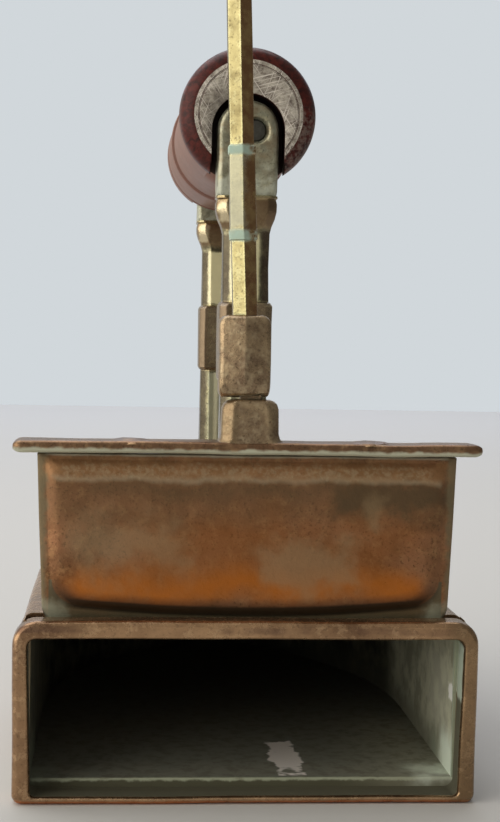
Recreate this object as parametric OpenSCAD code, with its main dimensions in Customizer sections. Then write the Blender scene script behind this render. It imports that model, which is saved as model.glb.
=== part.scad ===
// Brass box iron with a lift gate, heated by a loose slug.
// +Z is up, +Y runs to the tip, and the sole stands on Z = 0.
// The origin is at the middle of the iron's length and width.

/* [Body] */
// Length from the gate end to the tip
body_l = 190; // [170:1:220]
// Width over the side walls
body_w = 105.6; // [96:0.2:120]
// Height over the top plate
body_h = 43; // [40:0.5:60]
// Length of the straight part of the sides, from the gate end
straight_l = 84; // [70:1:100]
// Thickness of the side walls
wall_t = 2; // [1.5:0.1:3]
// Thickness of the sole plate
sole_t = 3.3; // [2.5:0.1:5]
// Thickness of the top plate
top_t = 3; // [2:0.1:4]
// Radius of the shoulder round the top plate
shoulder_r = 2.6; // [1:0.1:2.8]

/* [Mouth] */
// Width over the mouth rim
rim_w = 109; // [106:0.1:130]
// Depth of the mouth rim along the iron
rim_d = 6; // [4:0.5:8]
// Width of the side bars of the rim at the top of the opening
rim_side = 3.5; // [2.5:0.1:5]
// Thickness of the rim's top bar
rim_top = 4.3; // [3:0.1:6]
// Thickness of the rim's sill
rim_sill = 1.75; // [1.2:0.05:3]
// How much each side of the opening leans in towards the sill
rim_taper = 0.8; // [0:0.1:1.5]
// Length of the slot that the gate drops through
slot_l = 5; // [4.5:0.1:7]
// Recess of the slot into each side wall of the opening
slot_recess = 0.9; // [0.5:0.1:1.2]
// Depth of the seat for the gate in the sill
seat_d = 0.6; // [0.3:0.1:0.8]

/* [Gate] */
// Width of the gate plate under its cap
gate_w = 99.2; // [90:0.1:102]
// Thickness of the gate plate
gate_t = 4.4; // [3.5:0.1:4.4]
// How much each side of the plate leans in towards its lower edge
gate_taper = 1.3; // [0:0.1:1.5]
// Radius of the plate's lower corners
gate_corner_r = 6.5; // [3:0.5:10]
// Lift of the gate when it stands open
gate_lift = 38.2; // [20:0.1:39.5]
// Width of the gate cap
cap_w = 110; // [108:0.5:130]
// Depth of the gate cap along the iron
cap_d = 11.4; // [8:0.1:12]
// Thickness of the gate cap
cap_t = 3.2; // [2.5:0.1:4]
// Distance of each cap rivet from the middle
rivet_x = 28; // [15:1:40]

/* [Lifter] */
// Width of the hinge lug on the cap
lug_w = 13.5; // [10:0.1:18]
// Height of the hinge lug
lug_h = 10; // [8:0.1:14]
// Depth of the hinge lug and of the lever's block
lug_d = 9; // [8:0.1:10]
// Width of the lever's block
block_w = 12.2; // [10:0.1:15]
// Sideways place of the block on its lug
block_x = -1.6; // [-2:0.1:0]
// Height of the lever's block
block_h = 19.2; // [16:0.1:25]
// Width of the lever's bar
bar_w = 5.7; // [4:0.1:8]
// Depth of the lever's bar
bar_d = 5.2; // [4:0.1:6]
// Length of the lever from its pin to the tip of its finial
lever_l = 104.6; // [80:0.1:110]
// Sideways set of the bar, in degrees
bar_set = 2.1; // [0:0.1:3]
// Diameter of the lever's pin
pin_d = 2.4; // [2:0.1:2.6]

/* [Handle] */
// Diameter of the wooden grip
grip_d = 34; // [28:0.5:38]
// Length of the wooden grip
grip_l = 108.5; // [90:0.5:120]
// Height of the grip's axis above the table
grip_z = 163.5; // [150:0.1:175]
// Height of the rod's axis above the table
rod_z = 159.7; // [148:0.1:172]
// Sideways place of the rod
rod_x = 1.8; // [0:0.1:2]
// Diameter of the iron rod
rod_d = 5.4; // [4:0.1:6]
// Distance of the grip's near end from the gate end
grip_from = 29; // [22:0.5:32]

/* [Posts] */
// Width of a post's head
head_w = 15.1; // [12:0.1:18]
// Thickness of a post's head along the iron
head_t = 8; // [6:0.1:10]
// Width of a post's shaft
shaft_w = 11.5; // [9:0.1:13]
// Width of a post's block
post_block_w = 13.1; // [12:0.1:16]
// Height above the table where a post's block starts
post_block_from = 97.9; // [80:0.1:105]
// Height above the table where a post's block ends
post_block_to = 117.2; // [110:0.1:125]
// Height above the table of the lip under a post's head
lip_z = 143.5; // [138:0.1:150]
// Height above the table of the centre of a head's arch
arch_z = 159.65; // [150:0.05:165]
// Diameter of a post's tenon
tenon_d = 8; // [6:0.1:10]

/* [Hidden] */
gate_end = -body_l / 2;
mouth_d = rim_d + slot_l;
half_w = body_w / 2;
nose_l = body_l - straight_l;
nose_r = (half_w * half_w + nose_l * nose_l) / (2 * half_w);
open_half = rim_w / 2 - rim_side;
open_top = body_h - rim_top;
slot_half = open_half + slot_recess;
gate_y = gate_end + rim_d + slot_l / 2;
gate_h = body_h - rim_sill + seat_d - 0.15;
cap_z = body_h + gate_lift;
lug_z = cap_z + cap_t;
lug_gap = 0.5;
pin_z = lug_z + lug_h + lug_gap + lug_d / 2;
grip_y = gate_end + grip_from;
rear_post_y = grip_y + head_t / 2;
front_post_y = grip_y + grip_l - head_t / 2;
head_gap = 1.5;
washer_d = 16;
washer_t = 1.4;
fit = 0.05;
rim_draft = 0.15;
peen_h = 1.2;
rivet_d = 3;
tang_d = 3.2;
brass = "#8c7340";
dark_brass = "#6e5a3c";
$fn = 48;

// Points of an upright round-cornered outline that may be narrower at its foot.
function corner(cx, cy, r, from, to, n = 8) =
    [for (i = [0 : n]) let (a = from + (to - from) * i / n) [cx + r * cos(a), cy + r * sin(a)]];
function upright(top_half, foot_half, z0, z1, top_r, foot_r) = concat(
    corner(top_half - top_r, z1 - top_r, top_r, 0, 90),
    corner(top_r - top_half, z1 - top_r, top_r, 90, 180),
    corner(foot_r - foot_half, z0 + foot_r, foot_r, 180, 270),
    corner(foot_half - foot_r, z0 + foot_r, foot_r, 270, 360));

// Extrudes an X-Z outline along Y, from y for a length l.
module along_y(y, l) {
    translate([0, y + l, 0]) rotate([90, 0, 0]) linear_extrude(l) children();
}

// The plan of the iron: straight sides, then two arcs that meet at the tip.
module tongue(inset, from) {
    translate([inset - half_w, gate_end + from])
        square([body_w - 2 * inset, straight_l - from]);
    intersection() {
        translate([half_w - nose_r, gate_end + straight_l]) circle(nose_r - inset, $fn = 200);
        translate([nose_r - half_w, gate_end + straight_l]) circle(nose_r - inset, $fn = 200);
        translate([-half_w, gate_end + straight_l]) square([body_w, nose_l]);
    }
}

// Flat brass plate that slides on the cloth.
module sole_plate() {
    color(brass) linear_extrude(sole_t) tongue(0, mouth_d);
}

// Bent brass wall between the sole and the top plate, brazed at the tip.
module side_wall(side) {
    color(brass) translate([0, 0, sole_t]) linear_extrude(body_h - top_t - sole_t)
        intersection() {
            difference() {
                tongue(0, mouth_d);
                tongue(wall_t, mouth_d - 1);
            }
            translate([side > 0 ? 0 : -body_w, gate_end]) square([body_w, body_l]);
        }
}
module left_side_wall() { side_wall(-1); }
module right_side_wall() { side_wall(1); }

// Top of the box, with a rounded shoulder and two holes for the posts.
module top_plate() {
    shoulder_z = body_h - shoulder_r;
    color(brass) difference() {
        hull() {
            translate([0, 0, body_h - top_t]) linear_extrude(top_t - shoulder_r)
                tongue(0, mouth_d);
            for (a = [30 : 30 : 90])
                translate([0, 0, shoulder_z + shoulder_r * sin(a) - 0.02]) linear_extrude(0.02)
                    tongue(shoulder_r * (1 - cos(a)), mouth_d);
        }
        for (y = [rear_post_y, front_post_y])
            translate([0, y, body_h - top_t - 1]) cylinder(d = tenon_d + 2 * fit, h = top_t + 2);
    }
}

// Cast frame round the mouth: the rim, then the channel that the gate drops into.
module mouth_frame() {
    color(brass) {
        difference() {
            hull() {
                along_y(gate_end, 0.2) rim_outline(1);
                along_y(gate_end + 0.3, rim_d) rim_outline(0.3);
                along_y(gate_end + 1, rim_d - 1) rim_outline(0);
            }
            along_y(gate_end - 1, rim_d + 2) polygon(upright(
                open_half, open_half - rim_taper, rim_sill, open_top, 2, 1.2));
            along_y(gate_end + rim_d, slot_l)
                translate([-rim_w, -1]) square([2 * rim_w, body_h + 2]);
        }
        along_y(gate_end + rim_d, slot_l) difference() {
            polygon(upright(half_w + 0.4, half_w + 0.4, 0, body_h - 0.3, 3, 1.2));
            polygon(upright(slot_half, slot_half - rim_taper, rim_sill - seat_d, body_h + 2, 0.2, 2.2));
        }
    }
}
module rim_outline(inset) {
    polygon(upright(rim_w / 2 - inset, rim_w / 2 - rim_draft - inset, inset / 2, body_h - inset, 5.5, 2.2));
}

// Ornamental brass post, from its peened tenon to the flat head that holds the rod.
module post(y, side) {
    // [height above the table, half width, half thickness], from the foot up
    half_shaft = shaft_w / 2;
    foot = [[body_h, 12, 9], [body_h + 1.6, 12, 9]];
    neck = [[body_h + 1.6, 9.5, 7.5], [body_h + 7, half_shaft, 5.4]];
    shaft = [[body_h + 7, half_shaft, 5.4], [post_block_from, half_shaft, 5.4]];
    block = [[post_block_from, post_block_w / 2, 6.2], [post_block_to, post_block_w / 2, 6.2]];
    waist = [[post_block_to, half_shaft, 5.2], [lip_z - 7, half_shaft, 5.2]];
    bead = [[lip_z - 8, half_shaft, 5.2], [lip_z - 6.4, 7.4, 5.6], [lip_z - 1.6, 7.65, 5.6], [lip_z, 7.4, 5]];
    arch_r = head_w / 2;
    color(brass) translate([0, y, 0]) difference() {
        union() {
            for (run = [foot, neck, shaft, block, waist, bead])
                hull()
                    for (s = run)
                        translate([0, 0, s[0]]) linear_extrude(0.02) chamfered(s[1], s[2]);
            along_y(-head_t / 2, head_t) {
                translate([-arch_r, lip_z - 0.5]) square([head_w, arch_z - lip_z + 0.5]);
                translate([0, arch_z]) circle(arch_r);
            }
            translate([0, 0, body_h - top_t - washer_t - peen_h]) {
                cylinder(d = tenon_d, h = peen_h + washer_t + top_t + 0.5);
                cylinder(d1 = tenon_d - 1, d2 = tenon_d + 3, h = peen_h);
            }
        }
        translate([rod_x, head_t, rod_z]) rotate([90, 0, 0]) cylinder(
            d = rod_d + 2 * fit, h = 2 * head_t);
        translate([rod_x, side * head_t / 2, rod_z]) rotate([side * 90, 0, 0])
            translate([0, 0, -0.02]) cylinder(d1 = rod_d + 2, d2 = rod_d + 2 * fit, h = 0.8);
    }
}
module chamfered(x, y) {
    c = 2.4;
    polygon([[x, c - y], [x, y - c], [x - c, y], [c - x, y], [-x, y - c], [-x, c - y], [c - x, -y],
        [x - c, -y]]);
}
module rear_post() { post(rear_post_y, -1); }
module front_post() { post(front_post_y, 1); }

// Brass washer that the tenon is peened over, under the top plate.
module post_washer(y) {
    color(dark_brass) translate([0, y, body_h - top_t - washer_t]) difference() {
        cylinder(d = washer_d, h = washer_t);
        translate([0, 0, -1]) cylinder(d = tenon_d + 2 * fit, h = washer_t + 2);
    }
}
module rear_post_washer() { post_washer(rear_post_y); }
module front_post_washer() { post_washer(front_post_y); }

// Turned hardwood grip, slotted at both ends to sit over the posts' heads.
module handle_grip() {
    r = grip_d / 2;
    face_r = 12.8;
    step_y = 67;
    bead_y = 99.5;
    slot_half_w = head_w / 2 + head_gap;
    color("#5c2a1e") difference() {
        translate([0, grip_y, grip_z]) rotate([-90, 0, 0]) rotate_extrude($fn = 96) polygon(concat(
            [[0, 0], [face_r, 0]],
            corner(r - 4.4, 4, 4, -80, 0, 6),
            [[r, 5.5], [r - 0.8, 6.2], [r - 0.8, step_y - 1.5], [r - 1.4, step_y - 0.8], [r - 0.1, step_y],
                [r - 0.1, bead_y - 3], [r - 1.1, bead_y - 2], [r - 1.1, bead_y - 1], [r - 0.1, bead_y]],
            corner(r - 4.2, grip_l - 4.2, 4.2, 0, 80, 6),
            [[face_r, grip_l], [0, grip_l]]));
        for (y = [grip_y - 1, grip_y + grip_l - head_t - 0.3])
            along_y(y, head_t + 1.3) {
                translate([0, arch_z]) circle(slot_half_w);
                translate([-slot_half_w, grip_z - r - 2]) square([2 * slot_half_w, arch_z - grip_z + r + 2]);
            }
        translate([rod_x, grip_y + grip_l, rod_z]) rotate([90, 0, 0]) cylinder(
            d = rod_d + 2 * fit, h = grip_l);
    }
}

// Iron rod through both posts and the grip, riveted at its ends.
module handle_rod() {
    color("#4a4a46") translate([rod_x, grip_y + grip_l, rod_z]) rotate([90, 0, 0]) cylinder(
        d = rod_d, h = grip_l);
}

// Cast gate plate, drawn up so that the mouth is open.
module gate_plate() {
    foot_z = cap_z - gate_h;
    top_half = gate_w / 2;
    foot_half = top_half - gate_taper;
    front_y = gate_y - gate_t / 2;
    color(brass) difference() {
        hull() {
            along_y(front_y + 1, gate_t - 1) polygon(upright(
                top_half, foot_half, foot_z, cap_z, 0.2, gate_corner_r));
            along_y(front_y, 0.02) polygon(upright(
                top_half - 0.8, foot_half - 0.8, foot_z + 0.8, cap_z, 0.2, gate_corner_r - 0.8));
        }
        for (x = [-rivet_x, 0, rivet_x])
            translate([x, gate_y, cap_z - 4]) cylinder(d = (x == 0 ? tang_d : rivet_d) + 2 * fit, h = 6);
    }
}

// Round-edged cap that lands on the rim when the gate is down.
module gate_cap() {
    r = cap_t / 2;
    color(brass) difference() {
        hull()
            for (x = [r - cap_w / 2, cap_w / 2 - r], y = [r - cap_d / 2, cap_d / 2 - r])
                translate([x, gate_y + y, cap_z + r]) sphere(r, $fn = 24);
        for (x = [-rivet_x, 0, rivet_x])
            translate([x, gate_y, cap_z - 1]) cylinder(d = (x == 0 ? tang_d : rivet_d) + 2 * fit, h = 6);
    }
}

// Two rivets that hold the plate to its cap, with low peened heads.
module cap_rivets() {
    color(dark_brass) for (x = [-rivet_x, rivet_x])
        translate([x, gate_y, cap_z - 4]) {
            cylinder(d = rivet_d, h = 4 + cap_t);
            translate([0, 0, 4 + cap_t]) cylinder(d1 = 6.4, d2 = 4, h = 0.7);
        }
}

// Lug on the cap, with a narrow eye that stands up into the lever's block.
module hinge_lug() {
    eye_w = 4.8;
    eye_r = 2.4;
    neck_front = 1.4;
    color(brass) translate([0, gate_y, 0]) difference() {
        union() {
            hull() {
                translate([0, 0, lug_z]) linear_extrude(0.02) lug_plan(lug_w / 2, lug_d / 2);
                translate([0, 0, lug_z + lug_h - 2]) linear_extrude(0.02) lug_plan(lug_w / 2, lug_d / 2);
                translate([0, 0, lug_z + lug_h - 0.6]) linear_extrude(0.02)
                    lug_plan(lug_w / 2 - 0.6, lug_d / 2 - 0.4);
                translate([0, 0, lug_z + lug_h - 0.02]) linear_extrude(0.02)
                    lug_plan(lug_w / 2 - 2, lug_d / 2 - 1.4);
            }
            translate([-eye_w / 2, -neck_front, lug_z + lug_h - 1])
                cube([eye_w, neck_front + eye_r, pin_z - lug_z - lug_h + 1]);
            translate([-eye_w / 2, 0, pin_z]) rotate([0, 90, 0]) cylinder(r = eye_r, h = eye_w);
            translate([0, 0, lug_z - cap_t - 3]) cylinder(d = tang_d, h = cap_t + 4);
        }
        translate([-eye_w, 0, pin_z]) rotate([0, 90, 0]) cylinder(d = pin_d + 2 * fit, h = 2 * eye_w);
    }
}
module lug_plan(x, y) {
    c = 2.2;
    polygon([[x, c - y], [x, y], [-x, y], [-x, c - y], [c - x, -y], [x - c, -y]]);
}

// Finger lever: a block that is forked round the lug's eye, a ridged bar and a finial.
module lift_lever() {
    r = lug_d / 2;
    fork_w = 5.3;
    web = 2.7;
    block_top = pin_z - r + block_h;
    color(brass) translate([0, gate_y, 0]) difference() {
        translate([block_x, 0, 0]) {
            hull() {
                translate([1 - block_w / 2, 0, pin_z]) rotate([0, 90, 0]) cylinder(r = r, h = block_w - 2);
                translate([-block_w / 2, 0, pin_z]) rotate([0, 90, 0]) cylinder(r = r - 1, h = block_w);
                translate([0, 0, block_top - 1.5]) linear_extrude(0.02) ridged(block_w / 2, r, 1.2);
                translate([0, 0, block_top - 0.02]) linear_extrude(0.02)
                    ridged(block_w / 2 - 1, r - 1, 1.2);
            }
            translate([0, 0, block_top - 1]) rotate([0, -bar_set, 0])
                lever_bar(pin_z + lever_l - block_top + 1);
        }
        translate([-fork_w / 2, -web, pin_z - 2 * r]) cube([fork_w, 2 * r, 2 * r + 2.8]);
        translate([-block_w, 0, pin_z]) rotate([0, 90, 0]) cylinder(
            d = pin_d + 2 * fit, h = 2 * block_w);
    }
}
// The bar runs up from the block, with two collars and a small finial.
module lever_bar(l) {
    low_collar = 18.6;
    high_collar = 38.5;
    tip_l = 9;
    ball_d = 7.2;
    linear_extrude(l - tip_l) ridged(bar_w / 2, bar_d / 2, 1.7);
    for (z = [low_collar, high_collar])
        translate([0, 0, z]) linear_extrude(2.3) ridged(bar_w / 2 + 0.35, bar_d / 2 + 0.3, 1.6);
    translate([0, 0, low_collar]) linear_extrude(high_collar - low_collar)
        ridged(bar_w / 2 + 0.2, bar_d / 2 + 0.15, 1.7);
    translate([0, 0, l - tip_l]) cylinder(d1 = bar_w, d2 = 4.4, h = 3);
    translate([0, 0, l - ball_d / 2]) sphere(d = ball_d);
}
// A flat bar section whose front face is a low ridge.
module ridged(x, y, rise) {
    polygon([[x, y], [-x, y], [-x, -y + rise], [-0.4, -y - 0.01], [0.4, -y - 0.01], [x, -y + rise]]);
}

// Brass pin through the fork and the eye, filed flush with the block.
module lever_pin() {
    color(dark_brass) translate([block_x - block_w / 2 + fit, gate_y, pin_z]) rotate([0, 90, 0])
        cylinder(d = pin_d, h = block_w - 2 * fit);
}

sole_plate();
left_side_wall();
right_side_wall();
top_plate();
mouth_frame();
rear_post();
front_post();
rear_post_washer();
front_post_washer();
handle_grip();
handle_rod();
gate_plate();
gate_cap();
cap_rivets();
hinge_lug();
lift_lever();
lever_pin();
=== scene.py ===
# Brass box iron with a lift gate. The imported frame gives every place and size, and each section dresses one piece.
import math

import bmesh
import bpy
from mathutils import Matrix, Vector, noise


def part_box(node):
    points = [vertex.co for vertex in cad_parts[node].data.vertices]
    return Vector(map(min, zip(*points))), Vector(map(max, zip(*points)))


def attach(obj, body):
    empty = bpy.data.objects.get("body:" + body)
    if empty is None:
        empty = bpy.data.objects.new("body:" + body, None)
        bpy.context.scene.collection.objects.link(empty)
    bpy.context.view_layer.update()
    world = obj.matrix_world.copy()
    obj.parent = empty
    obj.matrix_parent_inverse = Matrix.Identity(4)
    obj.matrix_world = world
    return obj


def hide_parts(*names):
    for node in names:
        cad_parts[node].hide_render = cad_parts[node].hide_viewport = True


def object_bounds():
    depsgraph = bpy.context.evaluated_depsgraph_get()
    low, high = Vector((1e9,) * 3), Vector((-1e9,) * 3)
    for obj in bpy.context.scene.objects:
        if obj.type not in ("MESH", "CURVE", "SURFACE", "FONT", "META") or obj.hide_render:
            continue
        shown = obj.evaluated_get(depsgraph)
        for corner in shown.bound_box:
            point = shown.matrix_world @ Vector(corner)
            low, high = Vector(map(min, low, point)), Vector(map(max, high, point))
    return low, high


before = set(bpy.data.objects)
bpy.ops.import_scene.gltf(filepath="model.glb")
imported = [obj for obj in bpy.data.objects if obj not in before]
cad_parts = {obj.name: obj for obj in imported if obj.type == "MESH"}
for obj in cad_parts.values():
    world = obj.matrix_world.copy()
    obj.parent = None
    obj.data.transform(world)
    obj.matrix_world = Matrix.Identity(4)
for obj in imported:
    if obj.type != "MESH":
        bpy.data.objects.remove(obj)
cad_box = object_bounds()
MM = 0.001

# --- Camera and studio light ---------------------------------------------------------------------------------------
# A hand-held view a little above the iron, from the user's side: the lens stands left of the middle and looks past it.
# One window-sized soft light stands on the left, the right stays dim, and the floor is a plain pale cloth.
FRAME_W, LENS_PX = 500, 1627
EYE_X, EYE_BACK, EYE_Z = -30.7, 372.9, 111.9
mouth_lo, mouth_hi = (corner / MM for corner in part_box("mouth_frame"))
camera_data = bpy.data.cameras.new("camera")
camera_data.sensor_fit = "HORIZONTAL"
camera_data.sensor_width = 36
camera_data.lens = 36 * LENS_PX / FRAME_W
camera = bpy.data.objects.new("camera", camera_data)
bpy.context.scene.collection.objects.link(camera)
turn, tip_down, roll = (math.radians(a) for a in (4.6, 3.04, 1.09))
camera.matrix_world = (
    Matrix.Translation((EYE_X * MM, (mouth_lo.y - EYE_BACK) * MM, EYE_Z * MM))
    @ Matrix.Rotation(-turn, 4, "Z")
    @ Matrix.Rotation(math.pi / 2 - tip_down, 4, "X")
    @ Matrix.Rotation(roll, 4, "Z")
)
bpy.context.scene.camera = camera
bpy.context.scene.view_settings.view_transform = "Standard"


def linear(code):
    """The linear colour of an sRGB hex value."""
    parts = [int(code[i : i + 2], 16) / 255 for i in (1, 3, 5)]
    return [p / 12.92 if p <= 0.04045 else ((p + 0.055) / 1.055) ** 2.4 for p in parts] + [1]


def add(tree, kind, settings=None, links=None):
    """Adds one shader node, with its values and what its inputs are joined to."""
    made = tree.nodes.new("ShaderNode" + kind)
    for name, value in (settings or {}).items():
        if isinstance(name, int) or name in made.inputs:
            made.inputs[name].default_value = value
        else:
            setattr(made, name, value)
    for name, socket in (links or {}).items():
        tree.links.new(socket, made.inputs[name])
    return made


def soft_light(name, at, towards, width, height, watts, colour):
    """A rectangular soft light, aimed at a point."""
    data = bpy.data.lights.new(name, "AREA")
    data.shape, data.size, data.size_y = "RECTANGLE", width, height
    data.energy, data.color = watts, linear(colour)[:3]
    lamp = bpy.data.objects.new(name, data)
    bpy.context.scene.collection.objects.link(lamp)
    aim = (Vector(towards) - Vector(at)).to_track_quat("-Z", "Y").to_matrix().to_4x4()
    lamp.matrix_world = Matrix.Translation(at) @ aim
    return lamp


soft_light("window_light", (-0.95, -0.5, 0.36), (0, 0, 0.1), 1.35, 1.1, 7.5, "#fffaf0")
soft_light("top_light", (-0.2, 0.35, 1.1), (0, 0.1, 0), 1.2, 0.9, 8, "#f4f8ff")
soft_light("backdrop_light", (0, 1.7, 0.9), (0, 1.8, 0), 2.4, 1.2, 13, "#dbe7ff")

world = bpy.data.worlds.new("studio")
bpy.context.scene.world = world
world.use_nodes = True
room = world.node_tree
room.nodes.clear()
direction = add(room, "TexCoord")
split = add(room, "SeparateXYZ", links={0: direction.outputs["Generated"]})
side = add(
    room, "MapRange", {"From Min": -0.8, "From Max": 0.8, "To Min": 0.88, "To Max": 0.28},
    {"Value": split.outputs["X"]}
)
window_side = add(
    room, "MapRange", {"From Min": -0.9, "From Max": -0.2, "To Min": 0.7, "To Max": 0},
    {"Value": split.outputs["X"]}
)
glow = add(room, "Math", {"operation": "ADD"}, {0: side.outputs[0], 1: window_side.outputs[0]})
dim_room = add(room, "Background", {"Color": linear("#dcd8d0")}, {"Strength": glow.outputs[0]})
wall = add(room, "Background", {"Color": linear("#d1d7db"), "Strength": 1.0})
seen = add(room, "LightPath")
both = add(
    room, "MixShader", links={0: seen.outputs["Is Camera Ray"], 1: dim_room.outputs[0], 2: wall.outputs[0]}
)
add(room, "OutputWorld", links={"Surface": both.outputs[0]})

bpy.ops.mesh.primitive_plane_add(size=2.4, location=(0, 0.5, 0))
cloth_floor = bpy.context.object
cloth_floor.name = "pale_floor"
floor_paint = bpy.data.materials.new("white_cotton_cloth")
floor_paint.use_nodes = True
floor_shader = floor_paint.node_tree.nodes["Principled BSDF"]
floor_shader.inputs["Base Color"].default_value = linear("#c4c2be")
floor_shader.inputs["Roughness"].default_value = 0.9
cloth_floor.data.materials.append(floor_paint)

# --- Mouth frame ---------------------------------------------------------------------------------------------------
# A heavy cast brass rim round the mouth, filed round on its edges, with the gate's drop channel cast on behind it.
# The cast has gone brown with heat and handling; its edges are rubbed paler and green salts sit in the corners.
RIM_D, RIM_SIDE, RIM_FOOT, RIM_TOP, SILL_Z = 6.0, 3.5, 4.3, 4.3, 1.75
slot_l = mouth_hi.y - mouth_lo.y - RIM_D
rim_half, body_h = (mouth_hi.x - mouth_lo.x) / 2, mouth_hi.z
opening_half, opening_foot, opening_top = rim_half - RIM_SIDE, rim_half - RIM_FOOT, body_h - RIM_TOP
LONG_STEPS, BEND = 28, 8


def upright(top_half, foot_half, z0, z1, top_r, foot_r, long_steps=LONG_STEPS, short_steps=12, bend=BEND):
    """X and Z of a round-cornered upright outline, from the right side over the top and round."""
    corners = ((top_half - top_r, z1 - top_r, top_r, 0), (top_r - top_half, z1 - top_r, top_r, 90),
               (foot_r - foot_half, z0 + foot_r, foot_r, 180), (foot_half - foot_r, z0 + foot_r, foot_r, 270))
    arcs = [
        [
            (
                cx + r * math.cos(math.radians(start + 90 * i / bend)),
                cz + r * math.sin(math.radians(start + 90 * i / bend))
            )
            for i in range(bend + 1)
        ]
        for cx, cz, r, start in corners
    ]
    points = []
    for arc, after, steps in zip(arcs, arcs[1:] + arcs[:1], (long_steps, short_steps) * 2):
        points += arc
        (x0, y0), (x1, y1) = arc[-1], after[0]
        points += [(x0 + (x1 - x0) * i / steps, y0 + (y1 - y0) * i / steps) for i in range(1, steps)]
    return points


def at_y(outline, y):
    """Stands an X-Z outline up at a place along the iron."""
    return [(x, y, z) for x, z in outline]


noise.seed_set(3)  # so that the hand work's unevenness comes out the same every time


def skin(
    name, rings, paint, closed=True, looped=False, capped=True, wave=0.0, wave_mm=20.0, sharp=35, flats=True
):
    """A piece whose surface runs over a row of rings, given in millimetres. Wave is the hand work's unevenness."""
    mesh = bmesh.new()
    rows = []
    for ring in rings:
        row = []
        for point in ring:
            spot = Vector(point)
            if wave:
                spot += wave * noise.noise_vector(spot / wave_mm)
            row.append(mesh.verts.new(spot * MM))
        rows.append(row)
    for row, after in zip(rows, rows[1:] + (rows[:1] if looped else [])):
        for i in range(len(row) if closed else len(row) - 1):
            j = (i + 1) % len(row)
            mesh.faces.new((row[i], row[j], after[j], after[i]))
    if not closed:
        for i in (0, -1):
            mesh.faces.new([row[i] for row in rows])
    elif capped and not looped:
        mesh.faces.new(rows[0])
        mesh.faces.new(rows[-1])
    bmesh.ops.recalc_face_normals(mesh, faces=mesh.faces)
    if mesh.calc_volume(signed=True) < 0:
        bmesh.ops.reverse_faces(mesh, faces=mesh.faces)
    data = bpy.data.meshes.new(name)
    mesh.to_mesh(data)
    mesh.free()
    data.shade_smooth()
    data.set_sharp_from_angle(angle=math.radians(sharp))
    data.materials.append(paint)
    piece = bpy.data.objects.new(name, data)
    bpy.context.scene.collection.objects.link(piece)
    if flats:
        piece.modifiers.new("filed_flats", "WEIGHTED_NORMAL").keep_sharp = True
    return piece


class Finish:
    """A material in the making: its node tree, its shader and the place on the piece, in millimetres."""

    def __init__(self, name):
        self.paint = bpy.data.materials.new(name)
        self.paint.use_nodes = True
        self.tree = self.paint.node_tree
        self.shader = self.tree.nodes["Principled BSDF"]
        spot = add(self.tree, "TexCoord").outputs["Object"]
        self.place = add(self.tree, "VectorMath", {"operation": "SCALE", "Scale": 1000}, {0: spot}).outputs[0]

    def cover(self, amount, colour, metal=None, rough=None):
        """Lays a second finish over the first where the amount says so."""
        for name, value in (("Base Color", linear(colour)), ("Metallic", metal), ("Roughness", rough)):
            if value is None:
                continue
            socket = self.shader.inputs[name]
            below = socket.links[0].from_socket
            mix = add(
                self.tree, "Mix", {"data_type": "RGBA" if name == "Base Color" else "FLOAT"}, {0: amount}
            )
            low, high, out = (6, 7, 2) if name == "Base Color" else (2, 3, 0)
            mix.inputs[high].default_value = value
            self.tree.links.new(below, mix.inputs[low])
            self.tree.links.new(mix.outputs[out], socket)

    def zone(self, x=None, y=None, z=None, soft=1.0, ragged=0.0, grain_mm=6.0, most=1.0, patchy=False):
        """How far a point lies inside a box in millimetres, with soft and ragged borders."""
        drift = add(
            self.tree, "TexNoise", {"Scale": 1 / grain_mm, "Detail": 3, "Roughness": 0.6},
            {"Vector": self.place}
        )
        off = add(
            self.tree, "VectorMath", {"operation": "SUBTRACT", 1: (0.5, 0.5, 0.5)},
            {0: drift.outputs["Color"]}
        )
        moved = add(
            self.tree, "VectorMath", {"operation": "MULTIPLY_ADD", 1: (ragged, ragged, ragged)},
            {0: off.outputs[0], 2: self.place}
        )
        axes = add(self.tree, "SeparateXYZ", links={0: moved.outputs[0]})
        total = None
        for axis, limits in (("X", x), ("Y", y), ("Z", z)):
            for limit, sign in zip(limits or (), (1, -1)):
                if limit is None:
                    continue
                edge = add(
                    self.tree, "MapRange",
                    {
                        "interpolation_type": "SMOOTHSTEP", "From Min": limit - sign * soft,
                        "From Max": limit + sign * soft
                    },
                    {"Value": axes.outputs[axis]}
                )
                edge = edge.outputs[0]
                total = edge if total is None else add(
                    self.tree, "Math", {"operation": "MULTIPLY"}, {0: total, 1: edge}
                ).outputs[0]
        if patchy:
            holes = add(
                self.tree, "MapRange", {"From Min": 0.42, "From Max": 0.6}, {"Value": drift.outputs["Fac"]}
            )
            total = add(
                self.tree, "Math", {"operation": "MULTIPLY"}, {0: total, 1: holes.outputs[0]}
            ).outputs[0]
        return add(self.tree, "Math", {"operation": "MULTIPLY", 1: most}, {0: total}).outputs[0]

    def only(self, amount, where):
        """One amount, kept to where the other says so."""
        return add(self.tree, "Math", {"operation": "MULTIPLY"}, {0: amount, 1: where}).outputs[0]

    def stain(self, colour, metal=None, rough=None, where=None, **box):
        """Covers the inside of a box, or as much of it as another amount marks."""
        amount = self.zone(**box)
        self.cover(amount if where is None else self.only(amount, where), colour, metal, rough)

    def turned_to(self, axis, start, end, most=1.0):
        """How far the surface is turned along an axis, such as away from the window or to the user."""
        normal = add(self.tree, "SeparateXYZ", links={0: add(self.tree, "NewGeometry").outputs["Normal"]})
        return add(
            self.tree, "MapRange", {"From Min": start, "From Max": end, "To Max": most},
            {"Value": normal.outputs[axis]}
        ).outputs[0]


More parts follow.
